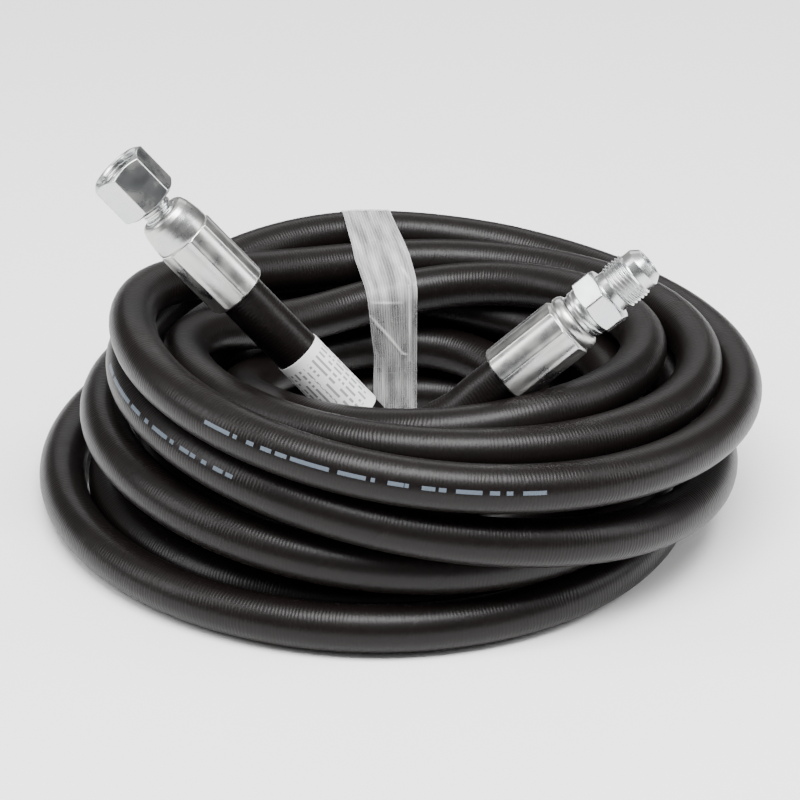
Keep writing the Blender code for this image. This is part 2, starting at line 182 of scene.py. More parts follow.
# %% The two ends that stand up
FEMALE_RIM = COIL_AXIS + np.array((-67.2, -32.7, 108.8)) * MM
FEMALE_WAY = np.array((-0.662, 0.025, 0.749)) / np.linalg.norm((-0.662, 0.025, 0.749))
MALE_RIM = COIL_AXIS + np.array((36.9, -60.5, 85.4)) * MM
MALE_WAY = np.array((0.762, 0.079, 0.643)) / np.linalg.norm((0.762, 0.079, 0.643))
FEMALE_STRAIGHT = 71.0 * MM
MALE_STRAIGHT = 14.0 * MM
HOSE_IN_FERRULE = 34.0 * MM
FEMALE_ROUTE = (
    (-2, -35, 37), (23, -30, 24), (43, -14, 18.5), (55, 8, 17.5), (57, 34, 19),
    (47, 57, 22.5), (27, 75, 27), (3, 82, 29.5),
)
MALE_ROUTE = (
    (-4, -62, 56), (-27, -57.5, 41.5), (-48.5, -45.5, 28), (-64.5, -26, 18), (-73, -6, 13),
    (-76, 13, 10.5), (-74, 34, 10), (-65.5, 55, 10), (-50, 71, 10),
)
SPACING = 6.0 * MM
CURVE_STEPS = 24


def free_end(rim, way, straight, rest):
    """The points of one end, from inside its ferrule down into the coil."""
    marks = (-HOSE_IN_FERRULE, 0.0, straight, straight + HOSE_OD / 2)
    return [rim - way * far for far in marks] + [COIL_AXIS + np.array(p) * MM for p in rest]


def curve_through(points):
    """A fine line through the points, by Catmull-Rom."""
    held = [2 * points[0] - points[1], *points, 2 * points[-1] - points[-2]]
    fine = []
    for a, b, c, d in zip(held, held[1:], held[2:], held[3:]):
        for t in np.arange(CURVE_STEPS) / CURVE_STEPS:
            slope, hollow, twist = c - a, 2 * a - 5 * b + 4 * c - d, 3 * b - a - 3 * c + d
            fine.append(0.5 * (2 * b + (slope * t + hollow * t**2 + twist * t**3)))
    return np.array(fine + [points[-1]])


def run_along(line):
    """How far each point lies along the line, in metres."""
    return np.r_[0, np.cumsum(np.linalg.norm(np.diff(line, axis=0), axis=1))]


def evenly(line, spacing, *with_it):
    """The line with its points this far apart, and values along it carried over."""
    run = run_along(line)
    marks = np.linspace(0, run[-1], int(round(run[-1] / spacing)) + 1)
    spread = np.stack([np.interp(marks, run, line[:, i]) for i in range(3)], 1)
    return (spread, *(np.interp(marks, run, v) for v in with_it))


def whole_line():
    """Both ends take in three points of the coil, so that they run into it without a kink."""
    female = free_end(FEMALE_RIM, FEMALE_WAY, FEMALE_STRAIGHT, FEMALE_ROUTE)
    male = free_end(MALE_RIM, MALE_WAY, MALE_STRAIGHT, MALE_ROUTE)
    head = curve_through(female + list(wound[2:7:2]))
    tail = curve_through(list(wound[-7:-2:2]) + male[::-1])
    line = np.vstack([head[:-1], wound[6:-7], tail])
    free = np.r_[np.ones(len(head) - 1), wound_free[6:-7], np.ones(len(tail))]
    return evenly(line, SPACING, free)


line, free = whole_line()
print("hose before settling:", round(SPACING * (len(line) - 1), 3), "m")

# %% [markdown]
# Where turns cross, a line through the listed numbers would run through itself. So the hose
# is settled: wherever two stretches lie closer than one diameter they push each other
# apart, the push is spread along the hose as its stiffness would do, and nothing goes
# below the floor. A physics simulation would do the same with far more work.

# %% How the hose gives way
NEAR_POINTS = 8
REACH = 12
FEMALE_HELD = 0.12
MALE_HELD = 0.06
LOOSENS_OVER = 0.06


def bell(width):
    """Weights for neighbouring points, with this many points to the shoulder of the bell."""
    return np.exp(-0.5 * (np.arange(-REACH, REACH + 1) / width) ** 2)


SPREAD = bell(2.5)
BEND = bell(4.0)


def averaged(line, weights):
    """Each point replaced by a weighted mean of its neighbours along the hose."""
    padded = np.pad(line, ((REACH, REACH), (0, 0)), mode="edge")
    columns = [np.convolve(padded[:, c], weights / weights.sum(), "valid") for c in range(3)]
    return np.stack(columns, 1)


def held_ends(line):
    """0 along the ends that the fittings hold straight, rising to 1 where the hose is free."""
    run = SPACING * np.arange(len(line))
    head = np.clip((run - FEMALE_HELD) / LOOSENS_OVER, 0, 1)
    return head * np.clip((run[-1] - run - MALE_HELD) / LOOSENS_OVER, 0, 1)


def without_kinks(line):
    """Spreads each bend along the hose. Averaging twice keeps round turns at their size."""
    once = averaged(line, BEND)
    return line + (2 * once - averaged(once, BEND) - line) * held_ends(line)[:, None]


def near_pairs(line, within):
    """Pairs of points that are close in space and not neighbours along the hose."""
    found = []
    for i in range(len(line) - NEAR_POINTS):
        far = np.linalg.norm(line[i + NEAR_POINTS:] - line[i], axis=1)
        j = np.nonzero(far < within)[0] + i + NEAR_POINTS
        found.append(np.stack([np.full(len(j), i), j]))
    return np.hstack(found)


line = without_kinks(line)
print("pairs of points that press on each other:", near_pairs(line, HOSE_OD).shape[1])

# %% [markdown]
# In each round, every pair that is too close moves apart, each of the two by its share.
# Then the shifts are smoothed along the hose and drawn back a little towards the listed
# places. The list of near pairs is made anew only now and then: it is the slow part.

# %% Settle the turns against each other
SETTLE_ROUNDS = 320
LOOK_EVERY = 20
LOOK_WITHIN = 1.6 * HOSE_OD
TIGHT = 0.97 * HOSE_OD
KEPT_SHIFT = 0.998


def pushed_apart(line, a, b, free):
    """The line after one push between the listed pairs."""
    gap = line[b] - line[a]
    far = np.linalg.norm(gap, axis=1)
    close = far < HOSE_OD
    i, j, far = a[close], b[close], far[close]
    push = gap[close] / far[:, None] * (HOSE_OD - far)[:, None] / (free[i] + free[j])[:, None]
    moved, count = np.zeros_like(line), np.zeros(len(line))
    np.add.at(moved, i, -push * free[i][:, None])
    np.add.at(moved, j, push * free[j][:, None])
    np.add.at(count, i, 1)
    np.add.at(count, j, 1)
    return line + moved / np.maximum(count, 1)[:, None]


def settled(start, free):
    line = start.copy()
    loose = held_ends(line)
    # The small amount keeps a pair of held points from dividing by nothing.
    free = free * loose + 1e-6
    for turn in range(SETTLE_ROUNDS):
        if turn % LOOK_EVERY == 0:
            a, b = near_pairs(line, LOOK_WITHIN)
        shift = (pushed_apart(line, a, b, free) - start) * loose[:, None] * KEPT_SHIFT
        line = start + (shift + averaged(shift, SPREAD)) / 2
        line[:, 2] = np.maximum(line[:, 2], ON_FLOOR * MM)
    return line


start, line = line, settled(line, free)
most = np.linalg.norm(line - start, axis=1).max() / MM
print("largest move:", round(most, 1), "mm, tight pairs:", near_pairs(line, TIGHT).shape[1])
print("hose length:", round(run_along(line)[-1], 3), "m")

# %% [markdown]
# The skin of the hose is a tube of rings along that line. A curve with a bevel would be
# less work, but rings in mesh code carry a map that says how far along the hose and how
# far round it each point is, and the cover's ribs and print are laid out on that map.

# %% Hose tube
RING_EVERY = 3.1 * MM
HOSE_SIDES = 32


def lined_up(line):
    """A direction square to the hose at each point, carried along without twist."""
    way = np.gradient(line, axis=0)
    way /= np.linalg.norm(way, axis=1)[:, None]
    side = np.cross(way[0], (0, 0, 1))
    sides = []
    for w in way:
        side = side - w * (side @ w)
        side /= np.linalg.norm(side)
        sides.append(side)
    return way, np.array(sides)


def tube_points(line, diameter, sides):
    """Rings of points round the line."""
    way, side = lined_up(line)
    other = np.cross(way, side)
    turn = (math.tau * np.arange(sides) / sides)[None, :, None]
    ring = side[:, None] * np.cos(turn) + other[:, None] * np.sin(turn)
    return line[:, None] + ring * diameter / 2


def hose_tube(line):
    points = tube_points(line, HOSE_OD, HOSE_SIDES)
    count, sides = points.shape[:2]
    faces, marks = [], []
    run = run_along(line)
    for i in range(count - 1):
        here, there = i * sides, (i + 1) * sides
        for k in range(sides):
            after = (k + 1) % sides
            faces.append((here + k, here + after, there + after, there + k))
            low, high = k / sides, (k + 1) / sides
            marks += [(run[i], low), (run[i], high), (run[i + 1], high), (run[i + 1], low)]
    for i, turned in ((0, -1), (count - 1, 1)):
        faces.append([i * sides + k for k in range(sides)][::turned])
        marks += [(run[i], k / sides) for k in range(sides)]
    mesh = bpy.data.meshes.new("hose")
    mesh.from_pydata(points.reshape(-1, 3).tolist(), [], faces)
    layer = mesh.uv_layers.new(name="along_and_round")
    layer.data.foreach_set("uv", np.array(marks, np.float32).ravel())
    mesh.shade_smooth()
    return in_scene("hose", mesh)


fine_line = evenly(curve_through(list(line)), RING_EVERY)[0]
run_at = run_along(fine_line)
hose = hose_tube(fine_line)
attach(hose, "hose")
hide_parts("hose_coil", "hose_female_end", "hose_male_end")
print("hose:", len(fine_line), "rings,", 2 * len(fine_line) * HOSE_SIDES, "triangles")

# %% [markdown]
# Every finish below is a Principled shader fed by procedural textures. Two helpers serve
# them all: one turns the hex colour that a maker would quote into the linear numbers that
# Blender works in, and one adds a node with its settings and its links in a single call.
# Noise is scaled by how many blotches go into a metre: 100 to the metre are 10 mm across.

# %% Helpers for finishes


def linear(share):
    """One channel of an sRGB colour as Blender works with it."""
    return share / 12.92 if share <= 0.04045 else ((share + 0.055) / 1.055) ** 2.4


def colour(text):
    """An sRGB hex colour as linear RGBA."""
    return (*[linear(int(text[i:i + 2], 16) / 255) for i in (1, 3, 5)], 1.0)


def finish_named(name):
    made = bpy.data.materials.new(name)
    made.use_nodes = True
    return made, made.node_tree.nodes["Principled BSDF"]


def add(look, kind, inputs, **settings):
    """Adds a node: its own settings, and for each input a value or the socket that feeds it."""
    made = look.node_tree.nodes.new(kind)
    for name, value in settings.items():
        setattr(made, name, value)
    feed(look, made, inputs)
    return made


def feed(look, node, inputs):
    """Sets the inputs of a node. Where a value is itself a node, its first output feeds the input."""
    for name, value in inputs.items():
        if isinstance(value, bpy.types.Node):
            value = value.outputs[0]
        if isinstance(value, bpy.types.NodeSocket):
            look.node_tree.links.new(value, node.inputs[name])
        else:
            node.inputs[name].default_value = value


print("mid grey, #808080, is", round(colour("#808080")[0], 3), "in linear light")

# %% [markdown]
# The cover is black nitrile rubber, cured under a wet nylon wrap. The wrap leaves fine
# ribs across the hose, 1.4 mm apart, which break each highlight into beads, and a faint
# spiral edge where the wrap overlapped. Rubber is dark and half matt, with an IOR near
# 1.52. Real wrap ribs are a few hundredths of a millimetre high, so they are bump here.

# %% Rubber cover of the hose
RIB = 1.4 * MM
RIB_HIGH = 0.032 * MM
RIB_STRAY = 2.4 * RIB
BROAD_SHARE = 0.3
WRAP = 46.0 * MM
GROOVE_SHARE = 0.03
GROOVE_DEEP = -1.2
PATCHES_A_METRE = 90.0
GRAINS_A_METRE = 700.0


def rib_height(look, run, turn, patches):
    """Ribs across the hose, uneven and leaned a little, with the groove of the wrap's edge."""
    uneven = add(look, "ShaderNodeMath", {0: patches, 1: RIB_STRAY, 2: run}, operation="MULTIPLY_ADD")
    phase = add(look, "ShaderNodeMath", {0: uneven, 1: math.tau / RIB}, operation="MULTIPLY")
    rib = add(look, "ShaderNodeMath", {0: phase}, operation="SINE")
    half = add(look, "ShaderNodeMath", {0: phase, 1: 0.5}, operation="MULTIPLY")
    broad = add(look, "ShaderNodeMath", {0: half}, operation="SINE")
    ribs = add(look, "ShaderNodeMath", {0: broad, 1: BROAD_SHARE, 2: rib}, operation="MULTIPLY_ADD")
    patchy = add(look, "ShaderNodeMapRange", {"Value": patches, "From Min": 0.3, "From Max": 0.7,
                                              "To Min": 0.45, "To Max": 1.0})
    # The groove winds round the hose once in each WRAP.
    wound_on = add(look, "ShaderNodeMath", {0: run, 1: 1.0 / WRAP, 2: turn}, operation="MULTIPLY_ADD")
    saw = add(look, "ShaderNodeMath", {0: wound_on}, operation="FRACT")
    groove = add(look, "ShaderNodeMapRange", {"Value": saw, "From Min": 0.0, "From Max": GROOVE_SHARE,
                                              "To Min": GROOVE_DEEP, "To Max": 0.0})
    return add(look, "ShaderNodeMath", {0: ribs, 1: patchy, 2: groove}, operation="MULTIPLY_ADD")


def rubber_cover(marks):
    look, shader = finish_named("nitrile_rubber_wrap_cured")
    where = add(look, "ShaderNodeUVMap", {}, uv_map="along_and_round")
    split = add(look, "ShaderNodeSeparateXYZ", {"Vector": where})
    run, turn = split.outputs["X"], split.outputs["Y"]
    place = add(look, "ShaderNodeTexCoord", {}).outputs["Object"]
    patches = add(look, "ShaderNodeTexNoise", {"Vector": place, "Scale": PATCHES_A_METRE, "Detail": 3.0})
    grain = add(look, "ShaderNodeTexNoise", {"Vector": place, "Scale": GRAINS_A_METRE, "Detail": 2.0})
    ribbed = rib_height(look, run, turn, patches)
    height = add(look, "ShaderNodeMath", {0: ribbed, 1: grain}, operation="ADD")
    bump = add(look, "ShaderNodeBump", {"Height": height, "Strength": 1.0, "Distance": RIB_HIGH})
    cover = add(look, "ShaderNodeMix", {0: patches, 6: colour("#090606"), 7: colour("#110c0b")},
                data_type="RGBA").outputs[2]
    printed = add(look, "ShaderNodeMix", {0: marks(look, run, turn), 6: cover, 7: colour("#6c7784")},
                  data_type="RGBA").outputs[2]
    rough = add(look, "ShaderNodeMapRange", {"Value": grain, "To Min": 0.30, "To Max": 0.44})
    feed(look, shader, {"Base Color": printed, "Roughness": rough, "Normal": bump,
                        "IOR": 1.52, "Specular IOR Level": 0.20})
    return look


# %% [markdown]
# Makers print a line of marks along a hose. Here it is plain dashes of uneven length, in a
# pale ink that has worn thin. The print line keeps its place on the cover, so as the coil
# winds it shows on the outward side of some turns and hides on others. The map gives both
# where along the hose a dash starts and which way round the line lies.

# %% Where the print line shows
# Each stretch: the turn, from which to which way round the coil in degrees, and how much the line faces
# outward and up.
PRINTED = (("top_outer", -128, -67, 1.0, 0.36), ("third_outer", -172, -121, 1.0, 0.6))
ON_TURN_MM = 8.0


def facing_turn(index, outward, upward):
    """Which way round the hose (0 to 1) points outward and up by these shares, at one ring."""
    way, side = lined_up(fine_line)
    other = np.cross(way[index], side[index])
    out = fine_line[index] - COIL_AXIS
    out[2] = 0.0
    aim = out / np.linalg.norm(out) * outward + np.array((0.0, 0.0, upward))
    return (math.atan2(aim @ other, aim @ side[index]) / math.tau) % 1.0


def stretches():
    """Lengths of hose whose print shows: (start, stop, which way round, in turns)."""
    spots = (fine_line - COIL_AXIS) / MM
    angle = np.degrees(np.arctan2(spots[:, 1], spots[:, 0]))
    found = []
    for name, low, high, outward, upward in PRINTED:
        reach = np.array([four_way([r for r, z in TURNS[name]], a) for a in np.radians(angle)])
        height = np.array([four_way([z for r, z in TURNS[name]], a) for a in np.radians(angle)])
        off = np.hypot(np.hypot(spots[:, 0], spots[:, 1]) - reach, spots[:, 2] - height)
        here = np.nonzero((off < ON_TURN_MM) & (angle > low) & (angle < high))[0]
        faces = facing_turn(here[len(here) // 2], outward, upward)
        found.append((float(run_at[here[0]]), float(run_at[here[-1]]), faces))
    return found


print_runs = stretches()
print("print line runs:", [tuple(round(x, 2) for x in one) for one in print_runs])

# %% [markdown]
# The line is cut into cells of 6 mm. White noise gives each cell a chance number, and the
# dash in it is longer or shorter by that number, or runs on into the next cell.

# %% Dashes of the print line
DASH_CELL = 6.0 * MM
PRINT_WIDE = 1.6 * MM
PRINT_HALF = PRINT_WIDE / (math.pi * HOSE_OD) / 2
INK_LEFT = 0.6


def dashes(look, run, turn):
    """How much ink lies on the cover: INK_LEFT on a dash and 0 elsewhere."""
    cell = add(look, "ShaderNodeMath", {0: run, 1: 1.0 / DASH_CELL}, operation="MULTIPLY")
    number = add(look, "ShaderNodeMath", {0: cell}, operation="FLOOR")
    inside = add(look, "ShaderNodeMath", {0: cell}, operation="FRACT")
    chance = add(look, "ShaderNodeTexWhiteNoise", {"W": number}, noise_dimensions="1D")
    length = add(look, "ShaderNodeMapRange", {"Value": chance, "To Min": 0.25, "To Max": 1.3})
    dash = add(look, "ShaderNodeMath", {0: inside, 1: length}, operation="LESS_THAN")
    total = None
    for start, stop, round_at in print_runs:
        after = add(look, "ShaderNodeMath", {0: run, 1: start}, operation="GREATER_THAN")
        before = add(look, "ShaderNodeMath", {0: run, 1: stop}, operation="LESS_THAN")
        near = add(look, "ShaderNodeMath", {0: turn, 1: round_at, 2: PRINT_HALF}, operation="COMPARE")
        both = add(look, "ShaderNodeMath", {0: after, 1: before}, operation="MULTIPLY")
        one = add(look, "ShaderNodeMath", {0: both, 1: near}, operation="MULTIPLY")
        total = add(look, "ShaderNodeMath", {0: one, 1: total}, operation="MAXIMUM") if total else one
    shown = add(look, "ShaderNodeMath", {0: total, 1: dash}, operation="MULTIPLY")
    return add(look, "ShaderNodeMath", {0: shown, 1: INK_LEFT}, operation="MULTIPLY")


hose.data.materials.append(rubber_cover(dashes))
print("cover and print on the hose:", hose.data.materials[0].name)

# %% [markdown]
# The fittings are turned and crimped parts, so each is skinned from rings along its axis.
# A list of (radius, distance along the axis) gives the outline, as a lathe operator reads
# a drawing. A row may name a shape, such as the hexagon, that the ring is cut down to.
# Rounding the outline and blending shapes softly gives the small edge radii that plated
# steel has, and these catch the light.

# %% Outlines for turned parts
SMOOTH_MM = 0.25
ARC_SHARES = (0.0, 0.25, 0.5, 0.75, 1.0)
CUT_AT_MOST = 0.45


def along(origin, way):
    """The frame of a fitting: its origin, and its +Z along the way that it points."""
    turn = Vector(way).to_track_quat("Z", "Y").to_matrix().to_4x4()
    return Matrix.Translation(Vector(origin)) @ turn


def softer_of(a, b, k):
    """The smaller of two radii, with a small round between them."""
    h = np.clip(0.5 + 0.5 * (b - a) / k, 0, 1)
    return b + (a - b) * h - k * h * (1 - h)


def rounded(outline, size):
    """The outline with each corner replaced by a small arc."""
    kept = [outline[0]]
    for (r0, z0, _), (r1, z1, shape), (r2, z2, _) in zip(outline, outline[1:], outline[2:]):
        here = np.array((r1, z1))
        one, two = np.array((r0, z0)) - here, np.array((r2, z2)) - here
        long_one, long_two = np.linalg.norm(one), np.linalg.norm(two)
        cut = min(size, long_one * CUT_AT_MOST, long_two * CUT_AT_MOST)
        a, b = here + one / long_one * cut, here + two / long_two * cut
        for t in ARC_SHARES:
            r, z = a * (1 - t) ** 2 + 2 * here * t * (1 - t) + b * t**2
            kept.append((r, z, shape))
    return kept + [outline[-1]]


def divided(outline, step):
    """The outline with extra rows, no further apart than a step where it is shaped."""
    kept = [outline[0]]
    for (r0, z0, s0), (r1, z1, shape) in zip(outline, outline[1:]):
        parts = max(1, math.ceil(math.hypot(r1 - r0, z1 - z0) / step)) if shape and s0 else 1
        for k in range(1, parts + 1):
            kept.append((r0 + (r1 - r0) * k / parts, z0 + (z1 - z0) * k / parts, shape))
    return kept


print("edges are rounded over", SMOOTH_MM, "mm")

# %% [markdown]
# The rows become rings of points, and the last ring is joined to the first, so that each
# part is one closed solid with its bore. A row's shape says how far out the ring lies at
# each angle. The part is made upright and then laid along the way its fitting points.

# %% Skin of a turned part


def turned_part(name, outline, place, look, body, sides=96, edge=0.2, step=0.3):
    """A ring-shaped solid from an outline in mm that starts and ends at the same corner."""
    rows = divided(rounded(outline, edge), step)
    turn = math.tau * np.arange(sides) / sides
    points = []
    for r, z, shape in rows:
        radius = shape(r, turn, z) if shape else np.full(sides, float(r))
        points.append(np.stack([radius * np.cos(turn), radius * np.sin(turn), np.full(sides, z)], 1))
    points = np.concatenate(points) * MM
    faces = []
    for i in range(len(rows)):
        under = (i + 1) % len(rows)
        here, there = i * sides, under * sides
        for k in range(sides):
            after = (k + 1) % sides
            faces.append((here + k, here + after, there + after, there + k))
    mesh = bpy.data.meshes.new(name)
    mesh.from_pydata(points.tolist(), [], faces)
    mesh.transform(place)
    mesh.shade_smooth()
    mesh.materials.append(look)
    made = in_scene(name, mesh)
    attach(made, body)
    print(name, "has", 2 * len(faces), "triangles")
    return made


# %% [markdown]
# Both fittings are carbon steel with bright zinc plating and a clear passivate. That is a
# metal with a pale, faintly blue colour that is neither mirror nor matt. Turning and
# pressing leave fine marks, which a low bump as wide as the marks shows as slightly uneven
# highlights, and the passivate dries in cloudy stains. A metal keeps the default IOR.

# %% Zinc-plated steel
STAINS_A_METRE = 130.0


def plated_steel(name, tone, rough_low, rough_high, marks_mm, depth_mm):
    """Zinc on turned or pressed steel. marks_mm is the spacing of the tool marks."""
    look, shader = finish_named(name)
    place = add(look, "ShaderNodeTexCoord", {}).outputs["Object"]
    stains = add(look, "ShaderNodeTexNoise", {"Vector": place, "Scale": STAINS_A_METRE, "Detail": 4.0})
    grain = add(look, "ShaderNodeTexNoise", {"Vector": place, "Scale": 1.0 / (marks_mm * MM), "Detail": 1.0})
    tint = add(look, "ShaderNodeMix", {0: stains, 6: colour(tone), 7: colour("#d8d6cf")},
               data_type="RGBA").outputs[2]
    rough = add(look, "ShaderNodeMapRange", {"Value": stains, "From Min": 0.3, "From Max": 0.7,
                                             "To Min": rough_low, "To Max": rough_high})
    bump = add(look, "ShaderNodeBump", {"Height": grain, "Strength": 1.0, "Distance": depth_mm * MM})
    feed(look, shader, {"Base Color": tint, "Roughness": rough, "Metallic": 1.0, "Normal": bump})
    return look


bright_zinc = plated_steel("zinc_plated_steel_turned", "#b4bbc3", 0.20, 0.34, 0.7, 0.012)
ferrule_zinc = plated_steel("zinc_plated_steel_pressed", "#a3a7ab", 0.24, 0.40, 1.4, 0.008)
print("finishes:", bright_zinc.name, ferrule_zinc.name)

# %% [markdown]
# A ferrule is a steel sleeve pressed on to the hose by eight jaws. Each jaw leaves a
# slightly hollow flat, and metal is squeezed up between jaws into narrow ridges, which
# catch the light as bright lines. In front of the crimp the sleeve stays round. At the
# female end it draws in over a long shoulder, and at the male end it is a short collar.

# %% Ferrules
JAWS = 8
RIDGE_R = 12.4
FLAT_R = 11.6
HOLLOW = 0.16
RIDGE_WIDE = math.radians(4.5)
RIDGE_FOOT = FLAT_R + 0.35
RIDGE_SOFT = 0.15
CRIMP = 32.0
SHOULDER = 13.0
COLLAR = 5.6
HOSE_R = HOSE_OD / MM / 2
INSIDE_R = HOSE_R + 0.1
FRONT_HOLE_R = 7.2


def crimped(r, turn, z):
    """Eight flats, a little hollow, and narrow ridges that stand up between them."""
    from_flat = (turn + math.pi / JAWS) % (math.tau / JAWS) - math.pi / JAWS
    flats = FLAT_R / np.cos(from_flat) - HOLLOW * np.cos(from_flat * JAWS / 2) ** 2
    from_ridge = math.pi / JAWS - np.abs(from_flat)
    ridge = RIDGE_FOOT + (RIDGE_R - RIDGE_FOOT) * np.exp(-((from_ridge / RIDGE_WIDE) ** 2))
    shaped = -softer_of(-flats, -ridge, RIDGE_SOFT)
    return softer_of(np.full_like(turn, float(r)), shaped, SMOOTH_MM)


def sleeve(front):
    """The crimped length, with what stands in front of it, back to where it began."""
    end = front[-1][1]
    return [
        (INSIDE_R, 0.5, None), (HOSE_R + 0.6, 0.0, None), (RIDGE_R - 1.2, 0.0, crimped),
        (RIDGE_R - 0.3, 0.7, crimped), (RIDGE_R + 0.3, 1.5, crimped), (RIDGE_R + 0.3, CRIMP - 0.7, crimped),
        (RIDGE_R - 0.6, CRIMP - 0.1, crimped), *front, (FRONT_HOLE_R, end, None),
        (FRONT_HOLE_R, CRIMP - 2.0, None), (INSIDE_R, CRIMP - 2.0, None), (INSIDE_R, 0.5, None),
    ]


FEMALE_FERRULE = sleeve([
    (11.95, CRIMP + 0.6, None), (11.95, CRIMP + 1.4, None), (11.8, CRIMP + 4.0, None),
    (11.3, CRIMP + 7.5, None), (10.8, CRIMP + 10.0, None), (10.0, CRIMP + 12.0, None),
    (9.2, CRIMP + 12.8, None), (8.6, CRIMP + SHOULDER, None),
])
MALE_FERRULE = sleeve([
    (11.2, CRIMP + 0.5, None), (11.3, CRIMP + 0.9, None), (11.85, CRIMP + 1.8, None),
    (11.9, CRIMP + 2.9, None), (11.75, CRIMP + 3.9, None), (11.2, CRIMP + 4.9, None),
    (10.4, CRIMP + COLLAR - 0.1, None), (9.9, CRIMP + COLLAR, None),
])
female_place = along(FEMALE_RIM, FEMALE_WAY)
male_place = along(MALE_RIM, MALE_WAY)
female_ferrule = turned_part("female_ferrule_crimped", FEMALE_FERRULE, female_place, ferrule_zinc,
                             "hose", sides=192)
male_ferrule = turned_part("male_ferrule_crimped", MALE_FERRULE, male_place, ferrule_zinc,
                           "hose", sides=192)
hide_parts("female_ferrule")
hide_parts("male_ferrule")

# %% [markdown]
# The swivel nut is cut from hexagon bar. A cone turned on each end leaves the round faces
# and the curved edges on each flat, which come here from cutting the outline down to the
# hexagon. Its bore is tapped three-quarter inch, 16 threads to the inch: a helix, so the
# radius depends on both the angle and the depth.

# %% Swivel nut
THREAD_D = 19.05
PITCH = 25.4 / 16
NUT_AF = 22.2
NUT_LENGTH = 20.2
NUT_LIP = 4.5
NECK = 5.5
NUT_TURN = math.radians(30)
NUT_BACK = CRIMP + SHOULDER + NECK
NUT_FRONT = NUT_BACK + NUT_LENGTH
CORNER = NUT_AF / 2 / math.cos(math.pi / 6)
THREAD_DEEP = 0.61 * PITCH
NECK_HOLE_R = 5.7


def hexed(r, turn, z):
    """Six flats, which cut the outline down to the hexagon bar."""
    from_flat = (turn + math.pi / 6) % (math.pi / 3) - math.pi / 6
    flats = NUT_AF / 2 / np.cos(from_flat)
    return softer_of(np.full_like(turn, float(r)), flats, SMOOTH_MM)


def thread_wave(turn, z):
    """0 at a thread's root and 1 at its crest, with both a little flat."""
    share = (z / PITCH - turn / math.tau) % 1.0
    return np.clip(1.15 - np.abs(share - 0.5) * 2.9, 0, 1)


def tapped(r, turn, z):
    """Crests that stand in from the bore, as a tap leaves them."""
    return r - THREAD_DEEP * thread_wave(turn, z)


NUT = [
    (NECK_HOLE_R, NUT_BACK, None), (NUT_AF / 2 - 0.7, NUT_BACK, hexed), (CORNER + 0.3, NUT_BACK + 1.6, hexed),
    (CORNER + 0.3, NUT_FRONT - 1.6, hexed), (NUT_AF / 2 - 0.3, NUT_FRONT, hexed),
    (THREAD_D / 2 + 0.6, NUT_FRONT, None), (THREAD_D / 2, NUT_FRONT - 0.7, None),
    (THREAD_D / 2, NUT_FRONT - 1.2, tapped), (THREAD_D / 2, NUT_BACK + NUT_LIP + 2.0, tapped),
    (THREAD_D / 2, NUT_BACK + NUT_LIP, None), (NECK_HOLE_R, NUT_BACK + NUT_LIP, None),
    (NECK_HOLE_R, NUT_BACK, None),
]
nut_place = female_place @ Matrix.Rotation(NUT_TURN, 4, "Z")
nut = turned_part("swivel_nut_hexagon", NUT, nut_place, bright_zinc, "nut", sides=144, step=0.2)
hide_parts("swivel_nut")

# %% [markdown]
# The stem is one turned piece. What shows of it is the neck behind the nut, with the rings
# that the tool left, and deep in the nut the 37 degree flare that seals.

# %% Female stem
FACE = CRIMP + SHOULDER
SEAT = NUT_BACK + NUT_LIP + 0.3
INNER_END = CRIMP - 1.5
SHANK_R = 7.0
BORE_R = 4.8
NECK_R = 5.3
RING_R = 6.3
SEAT_R = 7.8
STEM = [
    (BORE_R, INNER_END, None), (SHANK_R, INNER_END, None), (SHANK_R, FACE + 0.7, None),
    (NECK_R, FACE + 1.1, None), (NECK_R, FACE + 1.9, None), (RING_R, FACE + 2.2, None),
    (RING_R, FACE + 3.0, None), (5.7, FACE + 3.2, None), (5.7, FACE + 3.5, None),
    (RING_R, FACE + 3.7, None), (RING_R, FACE + 4.3, None), (NECK_R, FACE + 4.7, None),
    (NECK_R, SEAT, None), (SEAT_R, SEAT + 0.4, None), (SEAT_R, SEAT + 2.6, None),
    (BORE_R, SEAT + 1.2, None), (BORE_R, INNER_END, None),
]
stem = turned_part("female_stem_neck", STEM, female_place, bright_zinc, "hose", sides=64)
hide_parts("female_stem")

# %% [markdown]
# The male end is turned from the same bar: a neck, a hexagon to hold it by, an outside
# thread that matches the nut, and the 37 degree nose that seals on a flare.

# %% Male end
MALE_FACE = CRIMP + COLLAR
HEX_BACK = MALE_FACE + 5.5
HEX_FRONT = HEX_BACK + 10.0
THREAD_FROM = HEX_FRONT + 3.2
THREAD_TO = THREAD_FROM + 6 * PITCH
CONE = THREAD_TO + 3.8
ROOT = THREAD_D / 2 - THREAD_DEEP
NOSE_R = 8.4
TIP_R = 6.2
TIP = CONE + (NOSE_R - TIP_R) / math.tan(math.radians(37))
COLLAR_R = 9.6
GRIP_R = 10.15
THREAD_SOFT = 0.1


def threaded(r, turn, z):
    """A thread cut into the outline from outside."""
    outside = np.full_like(turn, float(r))
    return softer_of(outside, ROOT + THREAD_DEEP * thread_wave(turn, z), THREAD_SOFT)


